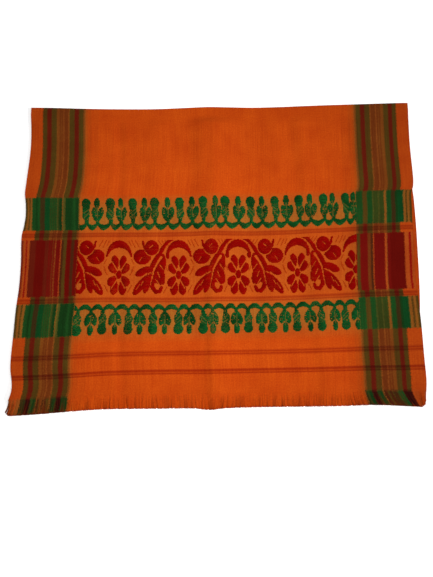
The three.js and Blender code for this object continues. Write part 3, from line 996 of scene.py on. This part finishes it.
def curl_chart(band, upside_down, foot, curls, buds, seed):
    """Which cells the green picks float over, and which the thin olive lines between them."""
    uneven = np.random.default_rng(seed)
    across, behind = band_grid(band)
    up = behind * BAND_HIGH / (band[1] - band[0])
    if upside_down:
        up = BAND_HIGH - up
    # Hanging loops between the feet of the curls and buds
    feet = np.array([curls[0] - LOOP["last"], *curls, *buds, buds[-1] + LOOP["last"]])
    feet = np.sort(feet + foot)
    gap = np.clip(np.searchsorted(feet, across) - 1, 0, len(feet) - 2)
    from_foot = np.clip((across - feet[gap]) / (feet[gap + 1] - feet[gap]), 0, 1)
    hang = np.sin(np.pi * from_foot)
    level = LOOP["level"] - LOOP["sag"] * hang ** LOOP["round"]
    chart = np.abs(up - level) < LOOP["thin"] + LOOP["thicker"] * hang
    lines = np.zeros(across.shape, bool)
    for place in curls:
        x, size = across - place, uneven.uniform(*CURL_SIZES)
        waist = foot / 2 + uneven.uniform(-CURL_LEAN, CURL_LEAN)
        body = list(zip((0, waist, foot), BODY_LEVELS))
        chart |= oval(x, up, **HEAD, size=size) | stroke(x, up, body, **BODY)
        chart |= oval(x, up, waist, wide=BELLY_WIDE * size, **BELLY)
        side = uneven.choice((-1, 1))
        for twist in TWISTS:
            ends = [(foot / 2 + aside * side, level) for aside, level in twist]
            lines |= stroke(x, up, ends, TWIST)
    for place in buds:
        x, size = across - place, uneven.uniform(*BUD_SIZES)
        room = min(1, np.abs(np.array(curls) - place).min() / BUD_ROOM)
        chart |= oval(x, up, **SMALL_HEAD, size=size)
        for side in (-1, 1):
            turn = 90 - side * uneven.uniform(*BUD_LEAF_TURN) * room
            wide = BUD_LEAF_WIDE * room * size
            root = foot / 2 + side * BUD_LEAF_ASIDE
            chart |= petal(x, up, dict(BUD_LEAF, x=root, turn=turn, wide=wide))
        if uneven.random() < BRIDGE_CHANCE:
            ends = [(foot / 2 + aside, level) for aside, level in BRIDGE]
            chart |= stroke(x, up, ends, BRIDGE_WIDE)
        lines |= stroke(x, up, list(zip((0, foot * RIB_FOOT), RIB_LEVELS)), **RIB)
        chart |= stroke(x, up, list(zip((foot, foot), NECK_LEVELS)), **NECK)
    skipped = uneven.random(across.shape) < SKIPPED["chance"]
    skipped &= (up > SKIPPED["above"]) & (up < SKIPPED["below"])
    lines &= up > LINES_ABOVE
    return chart & ~lines & ~skipped, lines


for name, band in CURL_BANDS.items():
    chart, lines = curl_chart(**band)
    for part, marked, deep, bright in ((name, chart, "#08320F", "#146029"),
                                       (name + "_lines", lines, "#4E4A1A", "#626628")):
        floats = lay_floats(part, marked, band["band"], band["seed"] + 10)
        floats.data.materials.append(float_yarn(part + "_yarn", deep, bright))
        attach(floats, "root")


# ---- The fringe ----------------------------------------------------------------------------
# Bare warp ends left beyond the last pick, cut straight and neither knotted nor twisted. They lie
# on the hidden thirds in loose bunches, fan out below the two borders, and keep each its stripe's
# colour.

THREAD_GAP = 0.6  # between two ends at their roots
THREAD_WIDE = 0.46  # half a thread's width, flattened as it lies
THREAD_HIGH = 0.24
THREAD_STEPS = 8
THREAD_SECTION = np.array([(-1, 0), (-0.45, 1), (0.45, 1), (1, 0), (0, -1)])
THREAD_TAPER = 0.12
CLEAR = 0.05  # of what a thread lies on
LEAN_CURVE = 1.3  # above 1, a thread leans most towards its tip
ROOT_BEHIND = 2.5  # a thread is rooted below the last picks
ROOT_ASTRAY = 0.15
TIP_ASTRAY = 0.3
TIPS_SHORT = 0.5
BUNCH = (2.5, 9)  # millimetres of hem that draw together
BUNCH_PULL = (0, 0.2)
BUNCH_PARTING = (0.1, 0.75)  # from which part of a thread's length on
BUNCH_SWING = 0.9
CALM = dict(start=10, end=30)  # near the selvedges the threads keep in line
CALM_LEAST = 0.2
FALLEN = 0.65  # the part of its length by which a thread has come down
LYING_STEP = 0.3  # of a thread that lies on another
OFF_CLOTH = (4, 1)  # beyond a hidden selvedge, and before it
CORNER_ROLLS = table("middle reach height", (9.5, 12, 1.9), (692, 9, 1.4))
CORNER_ROUND = 8  # how much the outermost threads fall short
CORNER_REACH = 10
UNDER_TOP = UPPER_MIDDLE + CLOTH_THICKNESS / 2
STRETCHES = table(
    "node start end slot",
    ("fringe_left_border", 0.6, 99, "fringe_border"),
    ("fringe_field_left", 99, 335, "fringe_field"),
    ("fringe_field_right", 335, 601, "fringe_field"),
    ("fringe_right_border", 601, 699.4, "fringe_border"),
)


def fringe_threads(name, start, end, seed):
    uneven = np.random.default_rng(seed)
    roots = np.arange(start + THREAD_GAP / 2, end, THREAD_GAP)
    roots = roots + uneven.uniform(-ROOT_ASTRAY, ROOT_ASTRAY, len(roots))
    count = len(roots)
    edges = start + np.concatenate([[0], np.cumsum(uneven.uniform(*BUNCH, count))])
    bunch = np.searchsorted(edges, roots) - 1
    middle = (edges[bunch] + edges[bunch + 1]) / 2
    pull = uneven.uniform(*BUNCH_PULL, count)[bunch]
    parting = uneven.uniform(*BUNCH_PARTING, count)[bunch]
    from_edge = np.minimum(roots, CLOTH_WIDTH - roots)
    free = CALM_LEAST + (1 - CALM_LEAST) * soft_step(from_edge, **CALM)
    stray = uneven.normal(0, TIP_ASTRAY, count) * free
    swing = uneven.normal(0, BUNCH_SWING, count)[bunch] * free
    t = np.linspace(0, 1, THREAD_STEPS + 1)
    x0, y0 = lie(roots, np.full_like(roots, ROOT_BEHIND))
    x = x0[:, None] + (lean_at(x0) * (1 - HEM_FLARE))[:, None] * t**LEAN_CURVE + stray[:, None] * t
    drawn = np.clip((t - parting[:, None]) / (1 - parting[:, None]), 0, 1)
    x = x + (free**2 * pull * (middle - roots))[:, None] * drawn + swing[:, None] * t**2
    rounded = CORNER_ROUND * np.clip(1 - from_edge / CORNER_REACH, 0, 1) ** 2
    tip_y = tip_line(x0) + np.abs(uneven.normal(0, TIP_ASTRAY, count)) + TIPS_SHORT + rounded
    y = y0[:, None] + (tip_y - y0)[:, None] * t
    root_z = face_height(roots, np.full_like(roots, ROOT_BEHIND)) - CLOTH_THICKNESS / 2
    # They lie on the hidden thirds, and beyond those thirds' selvedges they drop to the surface
    beyond, before = OFF_CLOTH
    on_cloth = soft_step(x, hidden_left(y) - beyond, hidden_left(y) + before)
    on_cloth = on_cloth * (1 - soft_step(x, hidden_right(y) - before, hidden_right(y) + beyond))
    over = uneven.integers(0, 2, (count, 1)) * LYING_STEP
    lying = THREAD_HIGH + CLEAR + UNDER_TOP * on_cloth + over
    fall = soft_step(t, 0, FALLEN)
    z = root_z[:, None] * (1 - fall) + lying * fall
    piled = uneven.uniform(0, 1, (count, 1))
    for roll in CORNER_ROLLS:
        heap = roll["height"] * ridge(roots - roll["middle"], roll["reach"])
        z = z + piled * heap[:, None] * fall
    z = np.maximum(z, THREAD_HIGH + CLEAR)
    thin = (1 - THREAD_TAPER * t)[None, :, None]
    shape = (count, THREAD_STEPS + 1, len(THREAD_SECTION))
    ring = np.zeros((*shape, 3))
    ring[..., 0] = x[..., None] + THREAD_SECTION[:, 0] * THREAD_WIDE * thin
    ring[..., 1] = y[..., None]
    ring[..., 2] = z[..., None] + THREAD_SECTION[:, 1] * THREAD_HIGH * thin
    points = ring.reshape(-1, 3)
    at = np.arange(len(points)).reshape(shape)
    turn = np.roll(at, -1, axis=2)
    sides = np.stack([at[:, :-1], at[:, 1:], turn[:, 1:], turn[:, :-1]], axis=-1).reshape(-1, 4)
    faces = sides.tolist() + at[:, 0].tolist() + at[:, -1, ::-1].tolist()
    threads = np.empty((*shape, 2))
    threads[..., 0] = roots[:, None, None]
    threads[..., 1] = (-BARE_WARP * t)[None, :, None]
    flat = points[:, :2]
    bake = (flat - flat.min(axis=0)) / np.ptp(flat, axis=0) * (1 - 2 * BAKE_MARGIN) + BAKE_MARGIN
    return build_piece(name, points, faces, threads.reshape(-1, 2), bake[np.concatenate(faces)])


bare_warp = handloom_cotton("bare_cotton_warp", banded=False, bare=True)
for number, stretch in enumerate(STRETCHES):
    fringe = fringe_threads(
        stretch["node"].replace("fringe_", "warp_fringe_"), stretch["start"], stretch["end"], number
    )
    fringe.data.materials.append(bare_warp)
    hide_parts(stretch["node"])
    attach(fringe, "root")


# ---- Floor, light and camera ---------------------------------------------------------------
# A plain pale sheet of paper below the cloth, which isn't part of it. A soft lamp hangs overhead,
# a low key light rakes the creases from the right, and the camera looks down from the front.

PAPER_REACH = 6.0  # these are in metres
PAPER_LEVEL = -0.0003
CAMERA_ELEVATION = 79.77
CAMERA_ROLL = -0.36
CAMERA_DISTANCE = 0.9825
LOOK_AT = Vector((-0.0003, -0.0663, 0))

floor_mesh = bpy.data.meshes.new("floor")
corners = [(-1, -1), (1, -1), (1, 1), (-1, 1)]
floor_mesh.from_pydata(
    [(x * PAPER_REACH, y * PAPER_REACH, 0) for x, y in corners], [], [(0, 1, 2, 3)]
)
floor = put_in_scene("floor", floor_mesh)
floor.location.z = PAPER_LEVEL
# Bright matt paper, lit a little from within so that it stays pale below the dark cloth
paper = bpy.data.materials.new("pale_paper")
paper.use_nodes = True
for socket, value in {
    "Base Color": linear("#FBFBFA"), "Roughness": 0.9,
    "Emission Color": (1, 1, 1, 1), "Emission Strength": 0.5,
}.items():
    paper.node_tree.nodes["Principled BSDF"].inputs[socket].default_value = value
floor_mesh.materials.append(paper)

lamp = bpy.data.lights.new("top_light", "AREA")
lamp.shape = "DISK"
lamp.size = 0.35
lamp.energy = 2.55
top_light = put_in_scene("top_light", lamp)
top_light.location = (0.01, -0.062, 0.6)
aim = Vector((0.0, -0.057, 0)) - top_light.location
top_light.rotation_euler = aim.to_track_quat("-Z", "Y").to_euler()

sun = bpy.data.lights.new("key_light", "SUN")
sun.energy = 2.5
sun.angle = math.radians(14)
key_light = put_in_scene("key_light", sun)
key_light.rotation_euler = (0, math.radians(65), math.radians(-14))

world = bpy.data.worlds.new("studio")
world.use_nodes = True
world.node_tree.nodes["Background"].inputs["Color"].default_value = (1, 1, 1, 1)
world.node_tree.nodes["Background"].inputs["Strength"].default_value = 0.15
bpy.context.scene.world = world
bpy.context.scene.view_settings.view_transform = "Standard"

lens = bpy.data.cameras.new("camera")
lens.lens = 35
lens.sensor_width = 36
camera = put_in_scene("camera", lens)
tilt = math.radians(90 - CAMERA_ELEVATION)
back = Vector((0, -math.sin(tilt), math.cos(tilt)))
turned = Matrix.Rotation(tilt, 4, "X") @ Matrix.Rotation(math.radians(CAMERA_ROLL), 4, "Z")
camera.matrix_world = Matrix.Translation(LOOK_AT + back * CAMERA_DISTANCE) @ turned
bpy.context.scene.camera = camera
